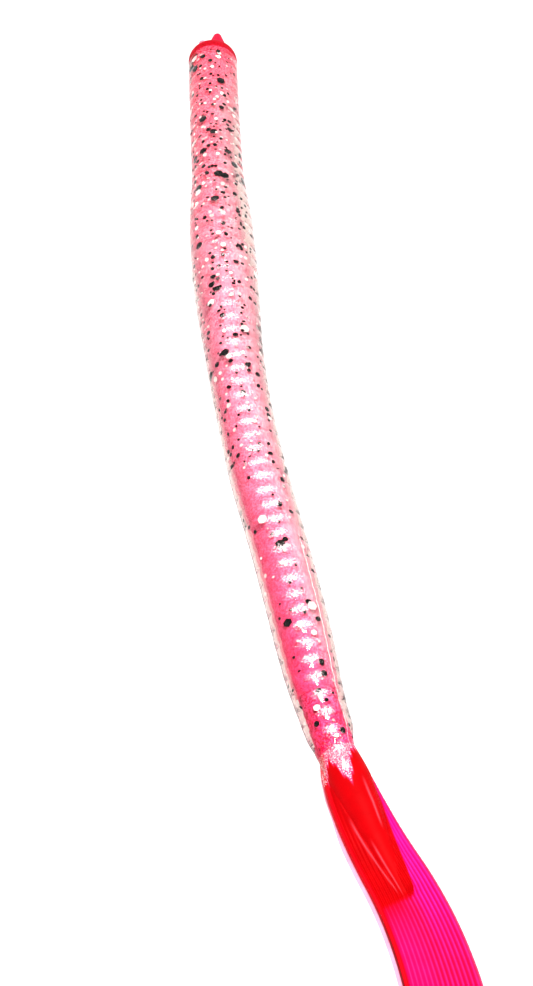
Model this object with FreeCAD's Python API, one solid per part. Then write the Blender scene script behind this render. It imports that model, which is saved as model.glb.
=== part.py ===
"""Soft plastic ribbon-tail worm: clear ringed body over a coloured core, glitter flakes, ribbed ribbon tail.

Millimetres, +Z up, head toward +Y, lying on the plane Z = 0.
The worm is divided at ring grooves into short lengths that bend against each other: each body length ends
in a ball that sits in the cup of the next, and each ribbon length ends in a round edge in a round groove.
"""
import FreeCAD, Part
import math
import os

V = FreeCAD.Vector

# ---- course of the worm, seen from above: (length, turn in degrees) from nose to tail tip ----
NOSE_HEADING = 2.2
COURSE = [(40, 1.9), (16, 2.0), (28, 7.9), (20, -2.9), (24, 17.9), (6, -8.5)]
TAIL_CURL = [(10, -13.5), (14, -26.0), (14, -33.0), (14, -42.0), (7, -28.0)]

# ---- body ----
NOSE_LENGTH = 2.4
BODY_JOINTS = [16, 30, 44, 58, 72, 86, 100, 114]
BODY_RADII = [
    (0, 3.62), (29, 3.66), (33, 3.92), (37, 4.26), (47, 4.34), (53, 4.10),
    (60, 3.74), (70, 3.52), (86, 3.38), (102, 3.22), (110, 2.70), (114, 2.56),
]
RING_PITCH = 2.0
RING_DEPTH = 0.18
SETTLE_SPAN = 7.0
SETTLE_GAP = 0.04

# ---- balls and cups between body lengths ----
CUP_CLEARANCE = 0.08
SWING_DEGREES = 22.0
TAIL_SWING_DEGREES = 32.0

# ---- coloured core ----
CORE_SHARE_HEAD = 0.66
CORE_SHARE_BODY = 0.52
CORE_NARROWS_AT = (26, 46)
NOSE_CAP_DEPTH = 3.2
NUB_RADIUS = 1.9
NUB_TIP_RADIUS = 0.7
NUB_LENGTH = 3.9
FLASH_RADIUS = 2.3
FLASH_THICKNESS = 0.25

# ---- glitter ----
FLAKE_LARGE = 1.57
FLAKE_MEDIUM = 1.0
FLAKE_THICKNESS = 0.1
FLAKES_PER_LENGTH = 28
GOLDEN_TURN = 137.508

# ---- tail ----
STEM_END = 131.0
STEM_END_RADIUS = 0.9
STEM_END_HEIGHT = 1.05
STEM_DRIFT = 0.4
RIBBON_START = 116.0
RIBBON_JOINTS = [133, 146, 159, 171, 183]
RIBBON_TIP = 192.5
RIBBON_WIDTHS = [
    (116, 4.6), (119, 5.4), (125, 6.2), (131, 6.8), (137, 7.4), (152, 8.2), (168, 8.0), (183, 6.5),
]
TIP_ROUNDING = 9.5
RIBBON_THICKNESS = 0.9
RIDGE_COUNT = 15
RIDGE_WIDTH = 0.24
RIDGE_HEIGHT = 0.12
EDGE_BEAD_WIDTH = 0.6
EDGE_BEAD_HEIGHT = 0.2
GROOVE_CLEARANCE = 0.05
FLAP_DEGREES = 30.0
KNUCKLE_OVERRUN = 0.6


def between(pairs, s):
    """Straight-line value between (station, value) pairs."""
    if s <= pairs[0][0]:
        return pairs[0][1]
    for (s0, v0), (s1, v1) in zip(pairs, pairs[1:]):
        if s <= s1:
            return v0 + (v1 - v0) * (s - s0) / (s1 - s0)
    return pairs[-1][1]


def course(s):
    """Point and heading of the centre line, seen from above, at a distance s from the nose."""
    x = 0.0
    y = 0.0
    heading = math.radians(NOSE_HEADING)
    left = s
    for length, turn in COURSE + TAIL_CURL:
        step = min(left, length)
        swing = math.radians(turn) * step / length
        chord = step if swing == 0 else step * math.sin(swing / 2) / (swing / 2)
        x += chord * math.sin(heading + swing / 2)
        y -= chord * math.cos(heading + swing / 2)
        heading += swing
        left -= step
        if left <= 0:
            break
    return x, y, heading


def body_radius(s):
    return between(BODY_RADII, s)


def axis_height(s):
    """Height of the body's axis: the thickest ring near s touches the plane it lies on."""
    count = 12
    near = [s + SETTLE_SPAN * (2.0 * i / count - 1) for i in range(count + 1)]
    return max(body_radius(max(p, 0)) for p in near) + SETTLE_GAP


def axis_point(s):
    x, y, _ = course(s)
    return V(x, y, axis_height(s))


def core_radius(s):
    start, end = CORE_NARROWS_AT
    share = between([(start, CORE_SHARE_HEAD), (end, CORE_SHARE_BODY)], s)
    return share * body_radius(s)


def arc(a, b, c):
    return Part.Arc(V(a[0], 0, a[1]), V(b[0], 0, b[1]), V(c[0], 0, c[1])).toShape()


def line(a, b):
    return Part.makeLine(V(a[0], 0, a[1]), V(b[0], 0, b[1]))


def turned(edges):
    """Solid of revolution about the local X axis from a closed profile of (x, radius) edges."""
    face = Part.Face(Part.Wire(edges))
    return face.revolve(V(0, 0, 0), V(1, 0, 0), 360)


def ring_edges(x0, x1, radius_at):
    """Row of rounded rings from x0 to x1, each rising from one groove and falling to the next."""
    count = max(1, round((x1 - x0) / RING_PITCH))
    pitch = (x1 - x0) / count
    edges = []
    for i in range(count):
        a = x0 + i * pitch
        b = a + pitch
        m = (a + b) / 2
        start = (a, radius_at(a) - RING_DEPTH)
        crest = (m, radius_at(m))
        end = (b, radius_at(b) - RING_DEPTH)
        edges.append(arc(start, crest, end))
    return edges


def groove_radius(s):
    return body_radius(s) - RING_DEPTH


def cup_edges(radius, outer, swing):
    """Cup in the front of a length: ball seat, then the rim, set back so that it clears the ring ahead."""
    cup = radius + CUP_CLEARANCE
    back = radius * math.tan(math.radians(swing))
    rim = (back, math.sqrt(cup * cup - back * back))
    turn = math.asin(back / cup) / 2 + math.pi / 4
    middle = (cup * math.sin(turn), cup * math.cos(turn))
    seat = arc((cup, 0), middle, rim)
    return [seat, line(rim, (back, outer(back)))], back, cup


def ball_edges(x, radius):
    half = radius * math.sqrt(0.5)
    return arc((x, radius), (x + half, half), (x + radius, 0))


def nose_edges(length, radius):
    """Domed nose as three arcs of a flattened round, from the axis out to the first groove."""
    points = []
    for i in range(7):
        a = math.radians(15 * i)
        points.append((length * (1 - math.cos(a)), radius * math.sin(a)))
    return [arc(points[i], points[i + 1], points[i + 2]) for i in (0, 2, 4)]


def placed(shape, start, end):
    """Moves a shape from the local X axis onto the line from start to end."""
    out = shape.copy()
    turn = FreeCAD.Rotation(V(1, 0, 0), end - start)
    out.Placement = FreeCAD.Placement(start, turn).multiply(shape.Placement)
    return out


def body_length(number, s0, s1, span):
    """Whole outer form of one body length, before it is divided into clear plastic and core."""

    def radius_at(x):
        return body_radius(s0 + (s1 - s0) * x / span)

    def grooves(x):
        return radius_at(x) - RING_DEPTH

    ball = groove_radius(s1)
    if number == 1:
        front = nose_edges(NOSE_LENGTH, grooves(NOSE_LENGTH))
        first = NOSE_LENGTH
        tip = 0.0
    else:
        front, first, tip = cup_edges(groove_radius(s0), grooves, SWING_DEGREES)
    edges = front + ring_edges(first, span, radius_at)
    edges.append(ball_edges(span, ball))
    edges.append(line((span + ball, 0), (tip, 0)))
    return turned(edges)


def core_rod(s0, s1, span):
    """Core through one body length, longer than it at both ends."""
    run = 6.0
    front = (-run, core_radius(s0))
    start = (0, core_radius(s0))
    end = (span, core_radius(s1))
    back = (span + run, core_radius(s1))
    edges = [line((-run, 0), front), line(front, start), line(start, end)]
    edges += [line(end, back), line(back, (span + run, 0)), line((span + run, 0), (-run, 0))]
    return turned(edges)


def nose_stub():
    """Moulding stub on the nose: thin flash collar and a rounded tapering nub."""
    x0 = 0.45
    collar = Part.makeCylinder(FLASH_RADIUS, x0 + FLASH_THICKNESS, V(x0, 0, 0), V(-1, 0, 0))
    root = (x0, NUB_RADIUS)
    shoulder = (-NUB_LENGTH + NUB_TIP_RADIUS, NUB_TIP_RADIUS)
    half = NUB_TIP_RADIUS * math.sqrt(0.5)
    middle = (-NUB_LENGTH + NUB_TIP_RADIUS - half, half)
    edges = [line((x0, 0), root), line(root, shoulder), arc(shoulder, middle, (-NUB_LENGTH, 0))]
    edges.append(line((-NUB_LENGTH, 0), (x0, 0)))
    return collar.fuse(turned(edges))


def hexagon(width):
    """Thin six-sided flake, flat across its local X axis."""
    corners = []
    for i in range(7):
        a = math.radians(60 * i)
        corners.append(V(-FLAKE_THICKNESS / 2, width / 2 * math.cos(a), width / 2 * math.sin(a)))
    return Part.Face(Part.makePolygon(corners)).extrude(V(FLAKE_THICKNESS, 0, 0))


def flakes(s0, s1, span, first, last, seed):
    """Black and silver flakes spread round the clear wall of one body length."""
    black = []
    silver = []
    for i in range(FLAKES_PER_LENGTH):
        x = first + (last - first) * (i + 0.5) / FLAKES_PER_LENGTH
        s = s0 + (s1 - s0) * x / span
        width = FLAKE_LARGE if i % 2 == 0 else FLAKE_MEDIUM
        inner = core_radius(s) + 0.2
        reach = groove_radius(s) - 0.15
        outer = math.sqrt(reach * reach - width * width / 4) - 0.25
        depth = inner + (outer - inner) * (0.55, 0.95, 0.25, 0.8)[(i + seed) % 4]
        around = math.radians(GOLDEN_TURN * (i + 5 * seed))
        flake = hexagon(width)
        flake.rotate(V(0, 0, 0), V(1, 0, 0), 47.0 * i)
        flake.rotate(V(0, 0, 0), V(0, 0, 1), 7.0 * math.sin(2.1 * i))
        flake.rotate(V(0, 0, 0), V(0, 1, 0), -90)
        flake.translate(V(x, 0, depth))
        flake.rotate(V(0, 0, 0), V(1, 0, 0), math.degrees(around))
        if i % 5 in (1, 4):
            silver.append(flake)
        else:
            black.append(flake)
    return black, silver


def across(s, side):
    """Point of the ribbon at a share of its half width to one side of the centre line."""
    x, y, heading = course(s)
    width = between(RIBBON_WIDTHS, s)
    past = s - (RIBBON_TIP - TIP_ROUNDING)
    if past > 0:
        width *= math.sqrt(max(0.0, 1 - (past / TIP_ROUNDING) ** 2))
    return V(x + side * width / 2 * math.cos(heading), y + side * width / 2 * math.sin(heading), 0)


def stations(s0, s1):
    count = max(2, math.ceil((s1 - s0) / 2.5))
    return [s0 + (s1 - s0) * i / count for i in range(count + 1)]


def smooth(points):
    curve = Part.BSplineCurve()
    curve.interpolate(points)
    return curve.toShape()


def strip(s0, s1, left, right, z0, z1):
    """Strip along the ribbon between two edge functions of the station, from height z0 to z1."""
    steps = stations(s0, s1)
    a = [left(s) for s in steps]
    b = [right(s) for s in steps]
    edges = [smooth(a)]
    if (a[-1] - b[-1]).Length > 1e-6:
        edges.append(Part.makeLine(a[-1], b[-1]))
    edges.append(smooth(b[::-1]))
    edges.append(Part.makeLine(b[0], a[0]))
    face = Part.Face(Part.Wire(edges))
    face.translate(V(0, 0, z0))
    return face.extrude(V(0, 0, z1 - z0))


def inset(s, side, offset):
    """Point at a share of the half width, moved sideways by an offset in millimetres."""
    p = across(s, side)
    heading = course(s)[2]
    return V(p.x + offset * math.cos(heading), p.y + offset * math.sin(heading), 0)


def ribbon_length(s0, s1):
    """Flat length of ribbon with fine lengthwise ridges and a bead along each edge."""
    top = RIBBON_THICKNESS
    plate = strip(s0, s1, lambda s: across(s, -1), lambda s: across(s, 1), 0, top)
    ridge_end = min(s1, RIBBON_TIP - 3.0)
    raised = []
    for i in range(RIDGE_COUNT):
        side = (2.0 * (i + 1) / (RIDGE_COUNT + 1) - 1) * 0.88
        near = lambda s: inset(s, side, -RIDGE_WIDTH / 2)
        far = lambda s: inset(s, side, RIDGE_WIDTH / 2)
        raised.append(strip(s0, ridge_end, near, far, top / 2, top + RIDGE_HEIGHT))
    for side in (-1, 1):
        shift = -side * EDGE_BEAD_WIDTH
        near = lambda s: inset(s, side, min(0, shift))
        far = lambda s: inset(s, side, max(0, shift))
        raised.append(strip(s0, ridge_end, near, far, top / 2, top + EDGE_BEAD_HEIGHT))
    return plate.multiFuse(raised)


def set_at(shape, s, height):
    """Moves a shape from the origin to the centre line, its local X axis pointing toward the tail."""
    x, y, heading = course(s)
    out = shape.copy()
    turn = FreeCAD.Rotation(V(0, 0, 1), math.degrees(heading) - 90)
    out.Placement = FreeCAD.Placement(V(x, y, height), turn).multiply(shape.Placement)
    return out


def round_edge_tool(s):
    """What is cut from the rear of a ribbon length so that a round edge is left."""
    block = Part.makeBox(4, 24, 4, V(0, -12, -2))
    rod = Part.makeCylinder(RIBBON_THICKNESS / 2, 24, V(0, -12, 0), V(0, 1, 0))
    return set_at(block.cut(rod), s, RIBBON_THICKNESS / 2)


def round_groove_tool(s):
    """What is cut from the front of a ribbon length: round groove and the room to fold upward."""
    rod = Part.makeCylinder(RIBBON_THICKNESS / 2 + GROOVE_CLEARANCE, 24, V(0, -12, 0), V(0, 1, 0))
    tall = 2.0
    lean = tall * math.tan(math.radians(FLAP_DEGREES))
    corners = [V(-3, 0, -2), V(0, 0, -2), V(0, 0, 0), V(lean, 0, tall), V(-3, 0, tall), V(-3, 0, -2)]
    side = Part.Face(Part.makePolygon(corners))
    side.translate(V(0, -12, 0))
    return set_at(rod.fuse(side.extrude(V(0, 24, 0))), s, RIBBON_THICKNESS / 2)


def tail_stem():
    """Round stem that carries on from the body and sinks into the ribbon."""
    start = axis_point(BODY_JOINTS[-1])
    x, y, heading = course(STEM_END)
    end = V(x + STEM_DRIFT * math.cos(heading), y + STEM_DRIFT * math.sin(heading), STEM_END_HEIGHT)
    span = (end - start).Length - STEM_END_RADIUS
    front_radius = groove_radius(BODY_JOINTS[-1])
    front, first, tip = cup_edges(front_radius, lambda d: front_radius, TAIL_SWING_DEGREES)
    waist = (first, front_radius)
    rear = (span, STEM_END_RADIUS)
    edges = front + [line(waist, rear), ball_edges(span, STEM_END_RADIUS)]
    edges.append(line((span + STEM_END_RADIUS, 0), (tip, 0)))
    return placed(turned(edges), start, end)


def make_body():
    pieces = {}
    stops = [0] + BODY_JOINTS
    for number in range(1, len(stops)):
        s0 = stops[number - 1]
        s1 = stops[number]
        start = axis_point(s0)
        end = axis_point(s1)
        span = (end - start).Length
        whole = body_length(number, s0, s1, span)
        rod = core_rod(s0, s1, span)
        core = whole.common(rod)
        if number == 1:
            nose = Part.makeBox(NOSE_CAP_DEPTH, 12, 12, V(0, -6, -6)).common(whole)
            core = core.fuse(nose).fuse(nose_stub()).removeSplitter()
        clear = whole.cut(core)
        first = NOSE_CAP_DEPTH + 1.0 if number == 1 else groove_radius(s0) + 0.5
        black, silver = flakes(s0, s1, span, first, span - 0.2, number)
        clear = clear.cut(Part.makeCompound(black + silver))
        pieces["clear_body_%d" % number] = placed(clear, start, end)
        pieces["core_%d" % number] = placed(core, start, end)
        pieces["black_flakes_%d" % number] = placed(Part.makeCompound(black), start, end)
        pieces["silver_flakes_%d" % number] = placed(Part.makeCompound(silver), start, end)
    return pieces


def make_tail():
    root = ribbon_length(RIBBON_START, RIBBON_JOINTS[0] + KNUCKLE_OVERRUN)
    root = root.cut(round_edge_tool(RIBBON_JOINTS[0]))
    pieces = {"tail_root": root.fuse(tail_stem())}
    stops = RIBBON_JOINTS + [RIBBON_TIP]
    for number in range(1, len(stops)):
        s0 = stops[number - 1]
        s1 = stops[number]
        last = number == len(stops) - 1
        length = ribbon_length(s0, s1 if last else s1 + KNUCKLE_OVERRUN)
        length = length.cut(round_groove_tool(s0))
        if not last:
            length = length.cut(round_edge_tool(s1))
        pieces["ribbon_%d" % number] = length
    return pieces


def centred(pieces):
    """Moves everything so that the middle of the whole stands over the origin."""
    box = Part.makeCompound(list(pieces.values())).optimalBoundingBox(False)
    shift = V(-box.Center.x, -box.Center.y, 0)
    for shape in pieces.values():
        shape.translate(shift)
    return pieces


def main():
    os.makedirs("parts", exist_ok=True)
    pieces = make_body()
    pieces.update(make_tail())
    for name, shape in centred(pieces).items():
        shape.exportStep("parts/%s.step" % name)


main()
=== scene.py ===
"""Soft plastic ribbon-tail worm: clear ringed body, pink core, glitter and a ribbed ribbon tail."""
import math
import random

import bpy
import numpy as np
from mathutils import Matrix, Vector


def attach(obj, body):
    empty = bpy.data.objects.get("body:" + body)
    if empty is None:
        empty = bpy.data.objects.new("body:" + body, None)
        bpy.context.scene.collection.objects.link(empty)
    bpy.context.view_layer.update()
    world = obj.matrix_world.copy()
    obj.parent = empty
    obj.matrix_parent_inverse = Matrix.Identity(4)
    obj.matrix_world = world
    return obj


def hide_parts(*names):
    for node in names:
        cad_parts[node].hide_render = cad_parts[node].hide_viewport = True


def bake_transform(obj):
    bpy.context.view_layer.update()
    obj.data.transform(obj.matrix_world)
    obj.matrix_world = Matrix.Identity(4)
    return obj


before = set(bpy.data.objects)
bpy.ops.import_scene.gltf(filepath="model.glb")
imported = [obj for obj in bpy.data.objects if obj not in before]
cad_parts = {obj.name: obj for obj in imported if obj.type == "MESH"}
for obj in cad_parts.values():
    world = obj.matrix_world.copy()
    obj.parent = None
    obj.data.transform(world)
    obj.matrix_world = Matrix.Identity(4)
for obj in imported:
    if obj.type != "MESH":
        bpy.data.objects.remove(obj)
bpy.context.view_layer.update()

MM = 0.001
# where the tip of the nose lies in the frame, in millimetres
NOSE_X = -13.3395
NOSE_Y = 84.4714

# ---- course of the worm, as (length, turn in degrees) from nose to tail tip ----
NOSE_HEADING = 2.2
COURSE = [
    (40, 1.9), (16, 2.0), (28, 7.9), (20, -2.9), (24, 17.9), (6, -8.5),
    (10, -13.5), (14, -26.0), (14, -33.0), (14, -42.0), (7, -28.0),
]
BODY_RADII = [
    (0, 3.64), (28, 3.64), (32, 3.90), (35, 4.18), (38, 4.34), (47, 4.38), (53, 4.13), (59, 3.78),
    (65, 3.60), (71, 3.51), (80, 3.49), (86, 3.37), (95, 3.31), (101, 3.25), (105, 3.07), (110, 2.70),
    (114, 2.56), (124, 2.50),
]
NOSE_LENGTH = 2.4
RING_PITCH = 2.0
RING_DEPTH = 0.09
CAP_END = 3.3
# two fine raised lines left by the mould: angles round the body, then height, width and radius
PARTING = 50
OTHER_PARTING = 184
PARTING_HEIGHT = 0.05
PARTING_WIDTH = 0.06
PARTING_RADIUS = 3.0
BODY_JOINTS = [16, 30, 44, 58, 72, 86, 100, 114]
BODY_SEAMS = [0, 24, 38, 52, 66, 80, 94, 108, 122]
BODY_END = 114
RIBBON_SEAMS = [131.5, 139.5, 152.5, 165, 177, 192.4]
STEM_END = 131.0
RIBBON_TIP = 192.5
TIP_ROUNDING = 9.5
RIBBON_WIDTHS = [
    (114, 3.4), (116, 4.6), (118, 5.3), (119, 5.5), (122, 5.9), (125, 6.2), (128, 6.5), (131, 6.8),
    (134, 7.1), (140, 7.6), (152, 8.2), (168, 8.0), (183, 6.5),
]
# the ribbon's root starts inside the round end of the body
ROOT_START = 114.6
RIBBON_THICKNESS = 0.9
RIDGES = 16
# width of the painted pink shadow beside the ribbon's left edge
PINK_SHADOW_WIDTH = 0.35


def between(pairs, s):
    xs = [p[0] for p in pairs]
    ys = [p[1] for p in pairs]
    return np.interp(s, xs, ys)


# ---- centre line ----
def build_course():
    step = 0.25
    total = sum(c[0] for c in COURSE)
    stations = np.arange(0, total + step, step)
    lengths = np.cumsum([0] + [c[0] for c in COURSE])
    turns = np.cumsum([0] + [c[1] for c in COURSE])
    heading = np.radians(NOSE_HEADING + np.interp(stations, lengths, turns))
    middle = (heading[1:] + heading[:-1]) / 2
    x = np.concatenate([[0], np.cumsum(np.sin(middle) * step)])
    y = np.concatenate([[0], np.cumsum(-np.cos(middle) * step)])
    return stations, heading, x, y


STATIONS, HEADINGS, COURSE_X, COURSE_Y = build_course()


def body_radius(s):
    return between(BODY_RADII, s)


def resting_height(s):
    """Height of the body's axis: straight between the divisions, softened where two straights meet."""
    stops = [0] + BODY_JOINTS
    heights = []
    for stop in stops:
        near = np.clip(np.linspace(stop - 7, stop + 7, 13), 0, None)
        heights.append(float(np.max(body_radius(np.minimum(near, 124)))) + 0.04)
    samples = [np.interp(np.asarray(s) + d, stops, heights) for d in (-2, -1, 0, 1, 2)]
    return np.mean(samples, axis=0)


def axis_height(s):
    s = np.asarray(s, float)
    body = resting_height(np.minimum(s, BODY_END))
    start = float(resting_height(BODY_END))
    stem = np.interp(s, [114, 117, 120, 124, STEM_END - 0.95], [start, 2.35, 1.5, 0.85, 0.6])
    return np.where(s < BODY_END, body, stem)


def drift(s):
    """Sideways wander of the stem from the middle of the ribbon."""
    return np.interp(s, [114, 121, 130], [0.0, 0.35, 0.05])


def line_at(s, height=None):
    """Points, right-hand and upward directions along the centre line."""
    s = np.asarray(s, float)
    h = np.interp(s, STATIONS, HEADINGS)
    x = np.interp(s, STATIONS, COURSE_X) + NOSE_X
    y = np.interp(s, STATIONS, COURSE_Y) + NOSE_Y
    z = axis_height(s) if height is None else height
    points = np.stack([x, y, z + 0 * s], axis=-1)
    right = np.stack([np.cos(h), np.sin(h), 0 * s], axis=-1)
    up = np.tile([0.0, 0.0, 1.0], s.shape + (1,))
    return points, right, up


# ---- meshes ----
def add_mesh(name, verts, faces, material, colours=None, smooth=True):
    mesh = bpy.data.meshes.new(name)
    mesh.from_pydata((np.asarray(verts) * MM).tolist(), [], faces)
    mesh.polygons.foreach_set("use_smooth", [smooth] * len(mesh.polygons))
    if colours is not None:
        layer = mesh.attributes.new("Tint", "FLOAT_COLOR", "POINT")
        if colours.shape[1] == 3:
            colours = np.concatenate([colours, np.ones((len(colours), 1))], axis=1)
        layer.data.foreach_set("color", colours.astype(np.float32).ravel())
    mesh.materials.append(material)
    mesh.update()
    piece = bpy.data.objects.new(name, mesh)
    bpy.context.scene.collection.objects.link(piece)
    return piece


def grid_faces(rows, columns, wrap):
    faces = []
    last = columns if wrap else columns - 1
    for i in range(rows - 1):
        for j in range(last):
            k = (j + 1) % columns
            faces.append((i * columns + j, i * columns + k, (i + 1) * columns + k, (i + 1) * columns + j))
    return faces


def tube(name, s, phi, radius, material, colours=None, offset=0.0, close_end=False):
    """Tube of stations by angles; radius is an array of the same shape."""
    points, right, up = line_at(s)
    side = np.cos(phi)
    rise = np.sin(phi)
    verts = (
        points[:, None, :]
        + right[:, None, :] * (radius * side[None, :] + np.asarray(offset).reshape(-1, 1))[..., None]
        + up[:, None, :] * (radius * rise[None, :])[..., None]
    )
    rows, columns = radius.shape
    verts = verts.reshape(-1, 3)
    faces = grid_faces(rows, columns, True)
    if close_end:
        faces.append(tuple(range((rows - 1) * columns, rows * columns)))
    return add_mesh(name, verts, faces, material, colours)


def ring_profile(s):
    """Height of the rings above their grooves, as a share of the ring depth."""
    t = np.mod(np.asarray(s), RING_PITCH) / RING_PITCH
    return 1 - (2 * t - 1) ** 2


def smoothstep(a, b, x):
    t = np.clip((np.asarray(x, float) - a) / (b - a), 0, 1)
    return t * t * (3 - 2 * t)


def parting_line(phi, angle):
    """Height of a moulding line that runs along the body at an angle round it."""
    gap = (phi - math.radians(angle) + math.pi) % (2 * math.pi) - math.pi
    return PARTING_HEIGHT * np.exp(-((gap * PARTING_RADIUS / PARTING_WIDTH) ** 2))


def skin_radius(s, phi):
    """Outer surface of the body at stations by angles."""
    s = np.asarray(s, float)[:, None]
    phi = phi[None, :]
    dome = np.sqrt(np.clip(1 - (1 - np.clip(s / NOSE_LENGTH, 0, 1)) ** 2, 0, 1))
    flank = 0.35 + 0.65 * smoothstep(0.1, 0.6, np.sin(phi))
    ring = RING_DEPTH * (1 - ring_profile(s)) * smoothstep(1.5, 4.0, s) * flank
    seams = parting_line(phi, PARTING) * smoothstep(86, 92, s)
    seams = seams + parting_line(phi, OTHER_PARTING) * smoothstep(70, 80, s)
    return body_radius(s) * dome - ring + seams * dome


def skin_highlight_and_grain(s, phi):
    """Shares of white on the skin and of pink grain, as the red and green of a colour: the white is painted
    highlight on the ring crests near the top, with white grain at the tail wedge and on a parting line.
    """
    s, phi = np.broadcast_arrays(np.asarray(s, float), np.asarray(phi, float))
    top = np.degrees(phi) - 92
    ring = np.mod(s, RING_PITCH) / RING_PITCH
    # painted highlight: a white spot on each ring crest near the top of the body
    highlight_patch = np.exp(-(((ring - 0.5) / 0.48) ** 2)) * np.exp(-((top / 34) ** 2))
    parting = 1.3 * np.exp(-(((np.degrees(phi) - PARTING) / 0.9) ** 2)) * smoothstep(84, 92, s)
    # the painted highlight grows from the nose end towards the tail
    highlight_growth = np.interp(s, [8, 30, 48, 62, 80], [0.48, 0.60, 0.76, 0.93, 1.0])
    wedge = smoothstep(110, 114, s) * np.exp(-((top / 50) ** 4)) * 0.62
    frost_and_highlight = np.maximum(np.maximum(highlight_patch * highlight_growth, wedge), parting)
    lean = np.interp(s, [8, 20, 46, 60], [0, 10, 10, 4])
    reach = np.interp(s, [6, 16, 45, 80], [58, 40, 42, 52])
    grain = np.exp(-(((top - lean) / reach) ** 4)) * np.interp(s, [4, 40, 70, 100], [0.55, 0.6, 0.9, 1.0])
    # less pink grain under the painted highlight
    grain = grain * (1 - 0.6 * highlight_patch)
    return np.stack([frost_and_highlight, grain, 0 * frost_and_highlight], axis=-1)


def angles():
    """Angles round the body, closer together at the two moulding seams."""
    base = list(np.radians(np.arange(0, 360, 3.75)))
    for centre in (PARTING, OTHER_PARTING):
        base += list(np.radians(centre + np.arange(-3, 3.01, 0.75)))
    return np.array(sorted(set(round(a, 5) for a in base)))


PHI = angles()


# ---- materials ----
def material(name):
    m = bpy.data.materials.new(name)
    m.use_nodes = True
    tree = m.node_tree
    return m, tree, tree.nodes["Principled BSDF"]


def noise(tree, scale, detail=3.0, roughness=0.6, distortion=0.0, stretch=None):
    where = tree.nodes.new("ShaderNodeTexCoord")
    n = tree.nodes.new("ShaderNodeTexNoise")
    n.inputs["Scale"].default_value = scale
    n.inputs["Detail"].default_value = detail
    n.inputs["Roughness"].default_value = roughness
    n.inputs["Distortion"].default_value = distortion
    if stretch is None:
        tree.links.new(where.outputs["Object"], n.inputs["Vector"])
    else:
        mapping = tree.nodes.new("ShaderNodeMapping")
        mapping.inputs["Scale"].default_value = stretch
        tree.links.new(where.outputs["Object"], mapping.inputs["Vector"])
        tree.links.new(mapping.outputs["Vector"], n.inputs["Vector"])
    return n.outputs["Fac"]


def ramp(tree, source, stops):
    node = tree.nodes.new("ShaderNodeValToRGB")
    node.color_ramp.elements[0].position = stops[0][0]
    node.color_ramp.elements[0].color = (*stops[0][1], 1)
    node.color_ramp.elements[1].position = stops[-1][0]
    node.color_ramp.elements[1].color = (*stops[-1][1], 1)
    for position, colour in stops[1:-1]:
        e = node.color_ramp.elements.new(position)
        e.color = (*colour, 1)
    tree.links.new(source, node.inputs["Fac"])
    return node.outputs["Color"]


def times(tree, a, b):
    mix = tree.nodes.new("ShaderNodeMix")
    mix.data_type = "RGBA"
    mix.blend_type = "MULTIPLY"
    mix.inputs["Factor"].default_value = 1.0
    tree.links.new(a, mix.inputs["A"])
    tree.links.new(b, mix.inputs["B"])
    return mix.outputs["Result"]


def over(tree, mask, share, grain, level, gain):
    """How far a mask and a grain together rise over a level, from 0 to 1."""
    total = tree.nodes.new("ShaderNodeMath")
    total.operation = "MULTIPLY_ADD"
    total.inputs[1].default_value = share
    tree.links.new(mask, total.inputs[0])
    tree.links.new(grain, total.inputs[2])
    out = tree.nodes.new("ShaderNodeMath")
    out.operation = "MULTIPLY_ADD"
    out.use_clamp = True
    out.inputs[1].default_value = gain
    out.inputs[2].default_value = -level * gain
    tree.links.new(total.outputs["Value"], out.inputs[0])
    return out.outputs["Value"]


def mixed(tree, share, first, second, base=None):
    node = tree.nodes.new("ShaderNodeMix")
    node.data_type = "RGBA"
    if base is None:
        node.inputs["A"].default_value = (*first, 1)
    else:
        tree.links.new(base, node.inputs["A"])
    node.inputs["B"].default_value = (*second, 1)
    tree.links.new(share, node.inputs["Factor"])
    return node.outputs["Result"]


def tint(tree, output="Color"):
    """Colour, or fourth number, that the mesh holds at each point."""
    node = tree.nodes.new("ShaderNodeAttribute")
    node.attribute_name = "Tint"
    return node.outputs[output]


def bump(tree, bsdf, source, strength, distance):
    node = tree.nodes.new("ShaderNodeBump")
    node.inputs["Strength"].default_value = strength
    node.inputs["Distance"].default_value = distance
    tree.links.new(source, node.inputs["Height"])
    tree.links.new(node.outputs["Normal"], bsdf.inputs["Normal"])


def let_lamps_through(tree, bsdf, colour):
    """Lamp light passes straight through this surface, tinted, to what lies behind it."""
    path = tree.nodes.new("ShaderNodeLightPath")
    clear = tree.nodes.new("ShaderNodeBsdfTransparent")
    clear.inputs["Color"].default_value = (*colour, 1)
    mix = tree.nodes.new("ShaderNodeMixShader")
    out = tree.nodes["Material Output"]
    tree.links.new(path.outputs["Is Shadow Ray"], mix.inputs[0])
    tree.links.new(bsdf.outputs["BSDF"], mix.inputs[1])
    tree.links.new(clear.outputs["BSDF"], mix.inputs[2])
    tree.links.new(mix.outputs["Shader"], out.inputs["Surface"])


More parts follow.
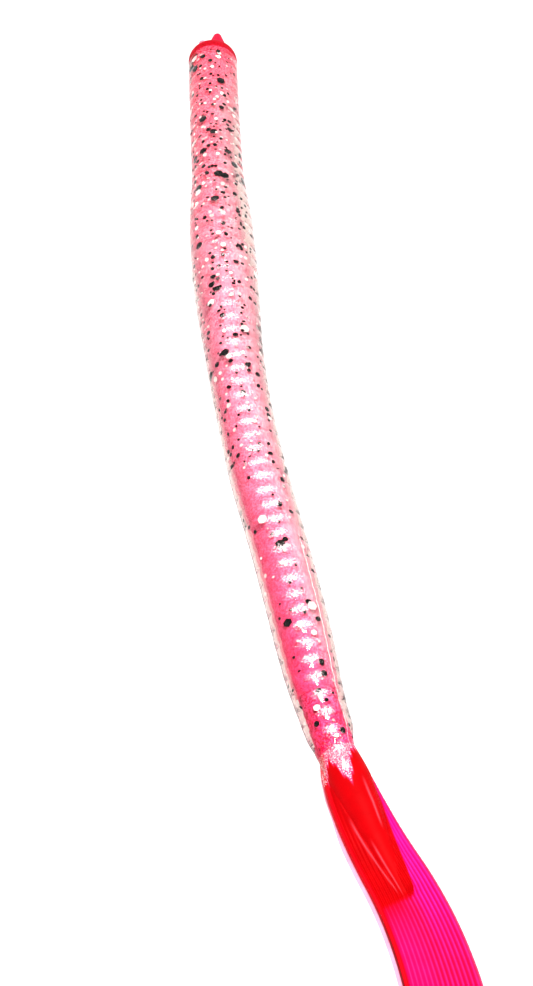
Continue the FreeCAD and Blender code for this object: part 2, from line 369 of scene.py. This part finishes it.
def clear_plastic():
    """Clear plastic with mould grain: painted white highlight on the ring crests, pink grain between them.
    """
    m, tree, bsdf = material("clear_soft_plastic")
    split = tree.nodes.new("ShaderNodeSeparateColor")
    tree.links.new(tint(tree), split.inputs["Color"])
    # the red share whitens the skin and makes it less clear: painted highlight on the ring crests, white
    # grain at the tail wedge and on a parting line
    frost_and_highlight = over(tree, split.outputs["Red"], 0.50, noise(tree, 4600, 2.0, 0.85), 0.86, 4.6)
    pink = over(tree, split.outputs["Green"], 0.34, noise(tree, 3000, 3.0, 0.85), 0.85, 13.0)
    tinted = mixed(tree, pink, (0.98, 0.83, 0.76), (0.74, 0.20, 0.40))
    # white of the painted highlight
    white = mixed(tree, frost_and_highlight, None, (0.97, 0.82, 0.88), tinted)
    tree.links.new(white, bsdf.inputs["Base Color"])
    through = tree.nodes.new("ShaderNodeMath")
    through.operation = "SUBTRACT"
    through.use_clamp = True
    through.inputs[0].default_value = 1.0
    tree.links.new(frost_and_highlight, through.inputs[1])
    tree.links.new(through.outputs["Value"], bsdf.inputs["Transmission Weight"])
    bsdf.inputs["Roughness"].default_value = 0.07
    bsdf.inputs["IOR"].default_value = 1.36
    bump(tree, bsdf, noise(tree, 3000, 2.0, 0.6), 0.3, 0.00004)
    let_lamps_through(tree, bsdf, (0.99, 0.94, 0.91))
    return m


def core_plastic():
    m, tree, bsdf = material("pink_core")
    cloud = ramp(tree, noise(tree, 700, 4.0, 0.65), [
        (0.32, (0.86, 0.62, 0.70)), (0.52, (1, 1, 1)), (0.75, (1.05, 1.45, 1.40)),
    ])
    speck = ramp(tree, noise(tree, 4000, 2.0, 0.8), [
        (0.42, (0.70, 0.20, 0.40)), (0.50, (0.98, 0.88, 0.94)), (0.58, (1.08, 2.3, 1.9)),
    ])
    colour = times(tree, times(tree, tint(tree), cloud), speck)
    tree.links.new(colour, bsdf.inputs["Base Color"])
    bsdf.inputs["Roughness"].default_value = 0.6
    bsdf.inputs["Specular IOR Level"].default_value = 0.1
    return m


def halo_plastic():
    """Faint outer layer of the core, where its colour fades into the clear plastic."""
    m, tree, bsdf = material("pink_core_edge")
    soft = ramp(tree, noise(tree, 700, 3.0, 0.6), [(0.3, (0.85, 0.75, 0.8)), (0.7, (1, 1, 1))])
    tree.links.new(times(tree, tint(tree), soft), bsdf.inputs["Base Color"])
    bsdf.inputs["Roughness"].default_value = 0.6
    bsdf.inputs["Specular IOR Level"].default_value = 0.1
    bsdf.inputs["Alpha"].default_value = 0.38
    return m


def black_flake():
    m, tree, bsdf = material("black_flake")
    tone = ramp(tree, noise(tree, 1500, 2.0), [
        (0.35, (0.001, 0.001, 0.0012)), (0.75, (0.006, 0.006, 0.007)),
    ])
    tree.links.new(tone, bsdf.inputs["Base Color"])
    bsdf.inputs["Roughness"].default_value = 0.3
    bsdf.inputs["Specular IOR Level"].default_value = 0.04
    return m


def silver_flake():
    m, tree, bsdf = material("silver_flake")
    tone = ramp(tree, noise(tree, 1200, 2.0), [(0.3, (0.86, 0.86, 0.87)), (0.7, (0.97, 0.97, 0.97))])
    tree.links.new(tone, bsdf.inputs["Base Color"])
    bsdf.inputs["Metallic"].default_value = 0.6
    bsdf.inputs["Roughness"].default_value = 0.3
    return m


def tail_plastic():
    """Red and magenta plastic; the share of white grain on it comes with the colour's fourth number."""
    m, tree, bsdf = material("red_pink_tail")
    streak = ramp(tree, noise(tree, 500, 4.0, 0.6), [(0.3, (0.90, 0.8, 0.85)), (0.7, (1.04, 1.1, 1.1))])
    grain = over(tree, tint(tree, "Alpha"), 0.5, noise(tree, 7000, 2.0, 0.8), 0.98, 5.0)
    base = mixed(tree, grain, None, (0.97, 0.80, 0.86), times(tree, tint(tree), streak))
    tree.links.new(base, bsdf.inputs["Base Color"])
    bsdf.inputs["Roughness"].default_value = 0.55
    bsdf.inputs["Specular IOR Level"].default_value = 0.05
    bump(tree, bsdf, noise(tree, 2600, 3.0), 0.25, 0.00004)
    return m


def floor_material():
    m, tree, bsdf = material("floor")
    tone = ramp(tree, noise(tree, 8, 2.0), [(0.3, (0.35, 0.35, 0.35)), (0.7, (0.36, 0.36, 0.36))])
    tree.links.new(tone, bsdf.inputs["Base Color"])
    bsdf.inputs["Roughness"].default_value = 0.6
    bsdf.inputs["Specular IOR Level"].default_value = 0.0
    bsdf.inputs["Emission Color"].default_value = (1, 1, 1, 1)
    bsdf.inputs["Emission Strength"].default_value = 0.55
    return m


CLEAR = clear_plastic()
CORE = core_plastic()
HALO = halo_plastic()
BLACK = black_flake()
SILVER = silver_flake()
TAIL = tail_plastic()

# ---- colours along the worm, as shares of light returned ----
CORE_COLOURS = [
    (0, (0.78, 0.03, 0.08)), (3.2, (0.86, 0.07, 0.14)), (6, (0.92, 0.14, 0.22)), (30, (0.90, 0.20, 0.29)),
    (50, (0.90, 0.29, 0.40)), (75, (0.88, 0.27, 0.40)), (95, (0.84, 0.19, 0.34)), (106, (0.82, 0.10, 0.26)),
    (114, (0.84, 0.04, 0.16)), (118, (0.60, 0.002, 0.01)),
]


def blend_colour(base, other, share):
    share = np.clip(share, 0, 1)[..., None]
    return base * (1 - share) + np.array(other) * share


def core_colour(s, side):
    """Colour of the core by station and by side: deeper on the left, and paler on the right as painted
    light where the light falls.
    """
    s, side = np.broadcast_arrays(np.asarray(s, float), np.asarray(side, float))
    xs = [c[0] for c in CORE_COLOURS]
    out = np.stack([np.interp(s, xs, [c[1][k] for c in CORE_COLOURS]) for k in range(3)], axis=-1)
    deep = smoothstep(0.15, -0.9, side)[..., None] * smoothstep(40, 100, s)[..., None]
    out = out * (1 - deep * np.array([0.05, 0.5, 0.35]))
    # painted light: the right side of the core is whitened, as if lit
    painted_lit_side = smoothstep(0.0, 0.9, side) * smoothstep(6, 16, s) * smoothstep(112, 98, s)
    return blend_colour(out, (0.96, 0.46, 0.54), 0.7 * painted_lit_side)


def core_radius(s):
    s = np.asarray(s, float)
    share = np.interp(s, [4, 9, 14, 20, 40, 54, 112], [0.74, 0.68, 0.56, 0.48, 0.47, 0.53, 0.54])
    inner = share * body_radius(s)
    stem = np.interp(s, [118, 121, 123, 127, STEM_END - 0.95], [2.25, 1.95, 1.75, 1.25, 0.78])
    grow = smoothstep(110, 118.5, s)
    return inner * (1 - grow) + np.where(s > 100, stem, 0) * grow


def core_offset(s):
    """The core sits a little left of the middle, and the stem wanders right."""
    return -0.55 * smoothstep(8, 18, s) * smoothstep(52, 36, s) + drift(s)


# ---- body pieces ----
# radius of the core's faint outer layer, as a share of the core's
HALO_SHARE = 1.13


def bend(piece):
    """Bakes a piece's placement into its mesh."""
    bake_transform(piece)


def wedge_end(phi):
    """Station where the clear plastic ends over the tail stem, by angle round the body."""
    top = 3.2 * np.exp(-(((phi - math.radians(98)) / 0.42) ** 2))
    left = 2.2 * np.exp(-(((phi - math.pi) / 0.5) ** 2))
    return 115.3 + top + left


def skin_piece(number):
    a = CAP_END if number == 1 else BODY_SEAMS[number - 1]
    b = BODY_SEAMS[number]
    if number == len(BODY_JOINTS):
        rows = 100
        t = np.linspace(0, 1, rows)[:, None]
        ends = wedge_end(PHI)[None, :]
        stations = a + (ends - a) * t
        radius = np.empty_like(stations)
        for j in range(len(PHI)):
            outer = skin_radius(stations[:, j], PHI[j:j + 1])[:, 0]
            stem = core_radius(stations[:, j]) + 0.01
            fade = smoothstep(112, ends[0, j], stations[:, j])
            radius[:, j] = outer * (1 - fade) + np.minimum(stem, outer) * fade
        highlight_and_grain = skin_highlight_and_grain(stations, PHI[None, :]).reshape(-1, 3)
        verts = []
        for i in range(rows):
            points, right, up = line_at(stations[i])
            wander = core_offset(stations[i]) * smoothstep(112, 117, stations[i])
            verts.append(
                points
                + right * (radius[i] * np.cos(PHI) + wander)[:, None]
                + up * (radius[i] * np.sin(PHI))[:, None]
            )
        faces = grid_faces(rows, len(PHI), True)
        piece = add_mesh("skin_%d" % number, np.concatenate(verts), faces, CLEAR, highlight_and_grain)
    else:
        rows = int(round((b - a) / 0.125)) + 1
        s = np.linspace(a, b, rows)
        highlight_and_grain = skin_highlight_and_grain(s[:, None], PHI[None, :]).reshape(-1, 3)
        piece = tube("skin_%d" % number, s, PHI, skin_radius(s, PHI), CLEAR, highlight_and_grain)
    bend(piece)
    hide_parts("clear_body_%d" % number)


def cap_colours(colours, s, phi):
    """Red of the nose cap, with a tongue down its left side and a slanting stroke above that."""
    reach = CAP_END - 0.1 + 2.6 * smoothstep(-0.6, -0.98, np.cos(phi))
    colours = blend_colour(colours, (0.44, 0.001, 0.012), (s[:, None] < reach[None, :]).astype(float))
    slant = np.abs(s[:, None] - 4.8 - 6.5 * (-np.cos(phi) - 0.57)[None, :])
    upper_left = (np.cos(phi) < -0.5) * (np.sin(phi) > 0)
    return blend_colour(colours, (0.50, 0.003, 0.02), smoothstep(0.9, 0.4, slant) * upper_left[None, :])


def core_piece(number):
    a = BODY_SEAMS[number - 1]
    b = BODY_SEAMS[number]
    phi = np.radians(np.arange(0, 360, 5))
    if number == 1:
        dome = NOSE_LENGTH * (1 - np.cos(np.radians(np.arange(2, 90, 4))))
        cap = np.concatenate([dome, [NOSE_LENGTH, 2.7, 3.0, CAP_END]])
        skin = skin_radius(cap, phi)
        neck = np.array([CAP_END + 0.01, 3.6, 4.4, 6])
        rest = np.arange(7, b + 0.01, 0.5)
        s = np.concatenate([cap, neck, rest])
        inner = np.repeat(core_radius(np.concatenate([neck, rest]))[:, None], len(phi), axis=1)
        inner[0] = skin[-1] - 0.02
        inner[1] = core_radius(5.0) + 0.25
        radius = np.concatenate([skin, inner])
    else:
        last = b if number < len(BODY_JOINTS) else 116
        s = np.arange(a, last + 0.01, 0.5)
        radius = np.repeat(core_radius(s)[:, None], len(phi), axis=1)
    colours = core_colour(s[:, None], np.cos(phi)[None, :])
    if number == 1:
        colours = cap_colours(colours, s, phi)
    offset = core_offset(s)
    last_one = number == len(BODY_JOINTS)
    colours = colours.reshape(-1, 3)
    piece = tube("core_skin_%d" % number, s, phi, radius, CORE, colours, offset, close_end=last_one)
    bend(piece)
    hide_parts("core_%d" % number)
    if not last_one:
        start = 5 if number == 1 else a
        s = np.arange(start, b + 0.01, 0.5)
        radius = np.repeat((core_radius(s) * HALO_SHARE)[:, None], len(phi), axis=1)
        colours = core_colour(s[:, None], np.cos(phi)[None, :]).reshape(-1, 3)
        paler = np.minimum(colours * 1.3, 1)
        edge = tube("core_edge_%d" % number, s, phi, radius, HALO, paler, core_offset(s))
        bend(edge)


def nub_piece():
    """Moulding stub on the nose, with the flash at its foot."""
    profile = [(0.8, 1.9), (0.2, 1.75), (-0.6, 1.55), (-1.6, 1.25), (-2.6, 0.95), (-3.3, 0.72)]
    for a in range(0, 91, 15):
        profile.append((-3.4 - 0.65 * math.sin(math.radians(a)), 0.66 * math.cos(math.radians(a)) + 0.002))
    phi = np.radians(np.arange(0, 360, 12))
    points, right, up = line_at(np.array([0.0]))
    h = math.radians(NOSE_HEADING)
    ahead = np.array([-math.sin(h), math.cos(h), 0.0])
    verts = []
    for x, r in profile:
        wobble = 1 + 0.05 * np.sin(2 * phi + x)
        base = points[0] - ahead * x + right[0] * (0.7 - 0.03 * x)
        verts.append(
            base + right[0] * (r * wobble * np.cos(phi))[:, None] + up[0] * (r * np.sin(phi))[:, None]
        )
    rows = len(profile)
    faces = grid_faces(rows, len(phi), True)
    faces.append(tuple(range((rows - 1) * len(phi), rows * len(phi))))
    colours = np.tile([0.50, 0.006, 0.04, 0.0], (rows * len(phi), 1))
    nub = add_mesh("nose_stub", np.concatenate(verts), faces, TAIL, colours)
    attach(nub, "body_1")
    flash_piece(points, right, up, ahead)


def flash_piece(points, right, up, ahead):
    """Thin irregular flash round the foot of the stub."""
    fine = np.radians(np.arange(0, 360, 6))
    edge = 2.15 + 0.8 * np.exp(-(((fine - math.radians(128)) / 0.3) ** 2)) + 0.08 * np.sin(5 * fine)
    verts = []
    for x, share in ((0.5, 0.5), (0.3, 1.0), (0.2, 1.0), (0.05, 0.5)):
        base = points[0] - ahead * x
        across = right[0] * (edge * share * np.cos(fine))[:, None]
        verts.append(base + across + up[0] * (edge * share * np.sin(fine))[:, None])
    colours = np.tile([0.9, 0.30, 0.38, 0.0], (4 * len(fine), 1))
    flash = add_mesh("nose_flash", np.concatenate(verts), grid_faces(4, len(fine), True), TAIL, colours)
    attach(flash, "body_1")


# ---- glitter ----
# width across corners in millimetres, with the share of flakes of that width
FLAKE_SIZES = [(1.15, 0.045), (0.72, 0.16), (0.50, 0.36), (0.36, 0.435)]
FLAKES_PER_MM = [(0, 11.0), (45, 10.5), (70, 7.0), (84, 3.6), (122, 3.0)]
FLAKES_END = 114.5
FLAKE_HALF_THICKNESS = 0.02
# flakes in the lower half of the body: how many of all, and the widest
SHARE_BELOW = 0.2
WIDEST_BELOW = 0.62
SHARE_SILVER = 0.38
GOLDEN_SHARE = 0.618034


def add_hexagon(verts, faces, centre, normal, first, second, spin, width):
    """Adds one flake, a thin hexagonal plate, to a group's corners and faces."""
    base = len(verts)
    for lift in (-FLAKE_HALF_THICKNESS, FLAKE_HALF_THICKNESS):
        for k in range(6):
            angle = spin + math.radians(60 * k)
            corner = first * math.cos(angle) + second * math.sin(angle)
            verts.append(centre + normal * lift + corner * width / 2)
    faces.append(tuple(base + k for k in (5, 4, 3, 2, 1, 0)))
    faces.append(tuple(base + 6 + k for k in range(6)))
    for k in range(6):
        n = (k + 1) % 6
        faces.append((base + k, base + n, base + 6 + n, base + 6 + k))


def scatter_flakes(number):
    """Black and silver flakes of one body length, between the core and the skin."""
    rng = random.Random(100 + number)
    a = 3.4 if number == 1 else BODY_SEAMS[number - 1]
    b = min(BODY_SEAMS[number], FLAKES_END)
    groups = {"black": ([], []), "silver": ([], [])}
    count = int((b - a) * between(FLAKES_PER_MM, (a + b) / 2))
    for i in range(count):
        pick = rng.random()
        width = 0.42
        for size, share in FLAKE_SIZES:
            if pick < share:
                width = size * rng.uniform(0.9, 1.08)
                break
            pick -= share
        s = a + (b - a) * (i + rng.random()) / count
        s = min(max(s, a + width / 2), b - width / 2)
        phi = math.pi * ((i * GOLDEN_SHARE + rng.uniform(-0.12, 0.12)) % 1)
        if rng.random() < SHARE_BELOW:
            phi += math.pi
            width = min(width, WIDEST_BELOW)
        outer = float(body_radius(s)) - RING_DEPTH - 0.06
        outer = math.sqrt(max(outer * outer - width * width / 4, 0.5)) - 0.04
        inner = float(core_radius(s)) + 0.05
        if inner > outer:
            continue
        depth = inner + (outer - inner) * math.sqrt(rng.random())
        spread, limit = (0.3, 1.2) if width < 0.7 else (0.12, 0.3)
        tilt = min(abs(rng.gauss(0, spread)), limit)
        tilt_way = rng.uniform(0, 2 * math.pi)
        spin = rng.uniform(0, math.pi)
        silver = rng.random() < SHARE_SILVER
        points, right, up = line_at(np.array([s]))
        h = float(np.interp(s, STATIONS, HEADINGS))
        along = np.array([math.sin(h), -math.cos(h), 0.0])
        out = right[0] * math.cos(phi) + up[0] * math.sin(phi)
        round_ = -right[0] * math.sin(phi) + up[0] * math.cos(phi)
        lean = along * math.cos(tilt_way) + round_ * math.sin(tilt_way)
        normal = out * math.cos(tilt) + lean * math.sin(tilt)
        first = np.cross(normal, along)
        first /= np.linalg.norm(first)
        second = np.cross(normal, first)
        centre = points[0] + out * depth + right[0] * float(core_offset(s)) * 0.5
        add_hexagon(*groups["silver" if silver else "black"], centre, normal, first, second, spin, width)
    for name, mat in (("black", BLACK), ("silver", SILVER)):
        verts, faces = groups[name]
        piece = add_mesh("%s_glitter_%d" % (name, number), verts, faces, mat, smooth=False)
        bend(piece)
        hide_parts("%s_flakes_%d" % (name, number))


# ---- ribbon ----
def ribbon_half(s):
    width = between(RIBBON_WIDTHS, s) / 2
    past = np.clip((np.asarray(s, float) - (RIBBON_TIP - TIP_ROUNDING)) / TIP_ROUNDING, 0, 1)
    return width * np.sqrt(np.clip(1 - past ** 2, 0.0, 1))


def stem_form(s, v):
    """Height of the stem on the ribbon and of its foot at sideways places v, and where v lies on it."""
    s, v = np.broadcast_arrays(np.asarray(s, float), np.asarray(v, float))
    cap = np.clip((s - (STEM_END - 0.95)) / 0.95, 0, 1)
    radius = (core_radius(s) + 0.03) * np.sqrt(1 - cap ** 2)
    aside = v - core_offset(s)
    inside = np.abs(aside) < radius
    height = axis_height(s) + np.sqrt(np.clip(radius ** 2 - aside ** 2, 0, None))
    beyond = np.clip(np.abs(aside) - radius, 0, None)
    left_foot = 0.5 * (axis_height(s) + radius - RIBBON_THICKNESS) * np.exp(-beyond)
    right_foot = 0.9 * np.exp(-beyond / 0.7)
    foot = np.where(aside < 0, left_foot, right_foot) * (1 - cap) * smoothstep(115, 118, s)
    return np.where(inside, height, 0), foot, aside / np.maximum(radius, 0.2)


def ribbon_top(s, u):
    """Height of the ribbon's upper face: stem, fine ridges, a thick left edge and a beaded right edge."""
    ridge = 0.5 + 0.5 * np.cos(np.pi * RIDGES * u)
    strength = 0.10 * smoothstep(121, 131, s) + 0.04
    near_tip = 1 - smoothstep(184, 191, s)
    height = RIBBON_THICKNESS + strength * near_tip * ridge
    left = 0.28 * np.exp(-(((u + 0.93) / 0.055) ** 2))
    right = 0.22 * np.exp(-(((u - 0.95) / 0.035) ** 2)) * (1 + 0.25 * np.sin(s * 9.0))
    edge = smoothstep(1.0, 0.975, np.abs(u))
    plate = (height + (left + right) * near_tip) * (0.55 + 0.45 * edge)
    stem, foot, _ = stem_form(s, ribbon_half(s) * u)
    return np.maximum(plate + foot, stem)


def ribbon_colour(s, u):
    """Red stem and left side running out into magenta, with a dark left rim and a paler right rim; painted
    shade in the ridge grooves, painted highlight on the ridge tops and on streaks along the stem.
    """
    s, u = np.broadcast_arrays(np.asarray(s, float), np.asarray(u, float))
    _, _, on_stem = stem_form(s, ribbon_half(s) * u)
    colour = np.tile(np.array([0.93, 0.004, 0.125]), s.shape + (1,))
    colour = blend_colour(colour, (0.88, 0.003, 0.085), smoothstep(140, 147, s))
    bright = smoothstep(0.05, 0.35, u) * smoothstep(0.98, 0.8, u)
    bright = bright * smoothstep(117, 124, s) * smoothstep(139, 130, s)
    colour = blend_colour(colour, (0.98, 0.006, 0.27), bright)
    # painted shade in the grooves between the ridges and painted highlight on the ridge tops
    shaded_groove = 0.5 - 0.5 * np.cos(np.pi * RIDGES * u)
    groove_shade_strength = smoothstep(-0.4, 0.1, u) * smoothstep(122, 132, s) * 0.65 + 0.25
    colour = blend_colour(colour, (0.42, 0.001, 0.028), shaded_groove ** 2 * groove_shade_strength)
    colour = blend_colour(colour, (0.98, 0.05, 0.27), (1 - shaded_groove) ** 3 * 0.35)
    reach = smoothstep(1.08, 0.95, on_stem) * smoothstep(131.4, 130.6, s)
    left = smoothstep(0.1, -0.35, u) * smoothstep(135, 129, s)
    colour = blend_colour(colour, (0.47, 0.0004, 0.003), np.maximum(reach, left))
    # painted highlight: thin light pink streaks along the stem
    for place, first, last in ((-1.0, 121, 130.5), (-0.55, 124, 130.8), (0.45, 118, 124)):
        line = np.exp(-(((on_stem - place) / 0.06) ** 2)) * smoothstep(first, first + 2, s)
        colour = blend_colour(colour, (0.95, 0.16, 0.22), 0.4 * line * smoothstep(last, last - 1.5, s))
    phi = np.arccos(np.clip(on_stem, -1, 1))
    clear_end = wedge_end(phi) + 0.25 * np.sin(23 * phi)
    under_clear = smoothstep(0.25, -0.25, s - clear_end)
    colour = blend_colour(colour, (0.88, 0.05, 0.16), under_clear)
    colour = blend_colour(colour, (0.56, 0.002, 0.010), smoothstep(-0.80, -0.88, u))
    rim = smoothstep(-0.955, -0.98, u) * smoothstep(126, 136, s)
    colour = blend_colour(colour, (0.26, 0.002, 0.006), rim)
    colour = blend_colour(colour, (0.84, 0.08, 0.18), 0.7 * smoothstep(0.90, 0.96, u))
    return np.concatenate([colour, under_clear[..., None]], axis=-1)


def ribbon_piece(name, a, b):
    """One length of the ribbon: ridged top, flat underside and a thin light pink sheet along its left edge,
    a painted pink shadow on the floor.
    """
    rows = int(round((b - a) / 0.25)) + 1
    s = np.linspace(a, b, rows)
    top = np.linspace(-1, 1, 220)
    under = np.linspace(1, -1, 24)
    verts = []
    colours = []
    points, right, _ = line_at(s, height=0.0)
    half = ribbon_half(s)
    # the root's underside rises inside the round end of the body
    under_face = 0.012 + 0.75 * smoothstep(119, ROOT_START, s)
    for u, upper in ((top, True), (under, False)):
        z = ribbon_top(s[:, None], u[None, :]) if upper else under_face[:, None] + 0 * u[None, :]
        if upper:
            z = np.maximum(z, under_face[:, None] + 0.05)
        grid = points[:, None, :] + right[:, None, :] * (half[:, None] * u[None, :])[..., None]
        grid[..., 2] = z
        verts.append(grid)
        colours.append(ribbon_colour(s[:, None], u[None, :]))
    # painted shadow: a thin light pink sheet on the floor beside the ribbon's left edge
    pink_shadow = PINK_SHADOW_WIDTH * smoothstep(119, 124, s) * smoothstep(176, 168, s)
    for share, lift in ((0.02, 0.0), (1.0, 0.0), (1.0, 0.038), (0.02, 0.048)):
        edge = points - right * (half + pink_shadow * share)[:, None]
        edge[:, 2] = under_face + lift
        verts.append(edge[:, None, :])
        colours.append(np.tile(np.array([0.95, 0.46, 0.60, 0.0]), (rows, 1, 1)))
    verts = np.concatenate(verts, axis=1)
    colours = np.concatenate(colours, axis=1)
    columns = verts.shape[1]
    faces = grid_faces(rows, columns, True)
    if b > 190:
        faces.append(tuple(range((rows - 1) * columns, rows * columns)))
    faces = [f[::-1] for f in faces]
    return add_mesh(name, verts.reshape(-1, 3), faces, TAIL, colours.reshape(-1, 4))


def make_tail():
    root = ribbon_piece("ribbon_root", ROOT_START, RIBBON_SEAMS[0])
    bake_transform(root)
    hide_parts("tail_root")
    for number in range(1, len(RIBBON_SEAMS)):
        a = RIBBON_SEAMS[number - 1]
        b = RIBBON_SEAMS[number]
        piece = ribbon_piece("ribbon_part_%d" % number, a, b)
        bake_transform(piece)
        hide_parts("ribbon_%d" % number)


# ---- studio, in metres ----
FLOOR_HALF = 3.0
FLOOR_LEVEL = -0.00002
KEY_PLACE = (0.01, 0.0, 0.80)
KEY_SIZE = 0.20
KEY_RADIANCE = 58.0
CAMERA_PLACE = (-0.00517, -0.08693, 0.136)
CAMERA_DOWN = 55.6
SENSOR_MM = 36.0
LENS_MM = 49.728195


def make_floor():
    mesh = bpy.data.meshes.new("floor")
    sides = ((-1, -1), (1, -1), (1, 1), (-1, 1))
    corners = [(x * FLOOR_HALF, y * FLOOR_HALF, FLOOR_LEVEL) for x, y in sides]
    mesh.from_pydata(corners, [], [(0, 1, 2, 3)])
    mesh.materials.append(floor_material())
    floor = bpy.data.objects.new("floor", mesh)
    bpy.context.scene.collection.objects.link(floor)


def make_world():
    """White surroundings, greyer overhead."""
    world = bpy.data.worlds.new("studio")
    world.use_nodes = True
    background = world.node_tree.nodes["Background"]
    where = world.node_tree.nodes.new("ShaderNodeTexCoord")
    split = world.node_tree.nodes.new("ShaderNodeSeparateXYZ")
    world.node_tree.links.new(where.outputs["Generated"], split.inputs["Vector"])
    tone = ramp(world.node_tree, split.outputs["Z"], [(0.25, (1, 0.995, 0.99)), (0.6, (0.68, 0.68, 0.68))])
    world.node_tree.links.new(tone, background.inputs["Color"])
    bpy.context.scene.world = world


def make_lamp():
    """One square softbox high over the worm, aimed at the frame's origin."""
    light = bpy.data.lights.new("key", "AREA")
    light.shape = "SQUARE"
    light.size = KEY_SIZE
    light.energy = KEY_RADIANCE * math.pi * KEY_SIZE ** 2
    lamp = bpy.data.objects.new("key", light)
    lamp.location = KEY_PLACE
    lamp.rotation_euler = (-Vector(KEY_PLACE)).to_track_quat("-Z", "Y").to_euler()
    bpy.context.scene.collection.objects.link(lamp)


def make_camera():
    data = bpy.data.cameras.new("camera")
    data.sensor_width = SENSOR_MM
    data.sensor_fit = "AUTO"
    data.lens = LENS_MM
    data.clip_start = 0.005
    data.clip_end = 10
    eye = bpy.data.objects.new("camera", data)
    eye.location = CAMERA_PLACE
    eye.rotation_euler = (math.radians(90 - CAMERA_DOWN), 0, 0)
    bpy.context.scene.collection.objects.link(eye)
    bpy.context.scene.camera = eye


for n in range(1, len(BODY_JOINTS) + 1):
    skin_piece(n)
    core_piece(n)
    scatter_flakes(n)
nub_piece()
make_tail()
make_floor()
make_world()
make_lamp()
make_camera()

view = bpy.context.scene.view_settings
view.view_transform = "Standard"
view.look = "Medium High Contrast"
cycles = bpy.context.scene.cycles
cycles.max_bounces = 24
cycles.transmission_bounces = 20
cycles.transparent_max_bounces = 16
cycles.caustics_refractive = True
cycles.caustics_reflective = False
cycles.sample_clamp_indirect = 4.0
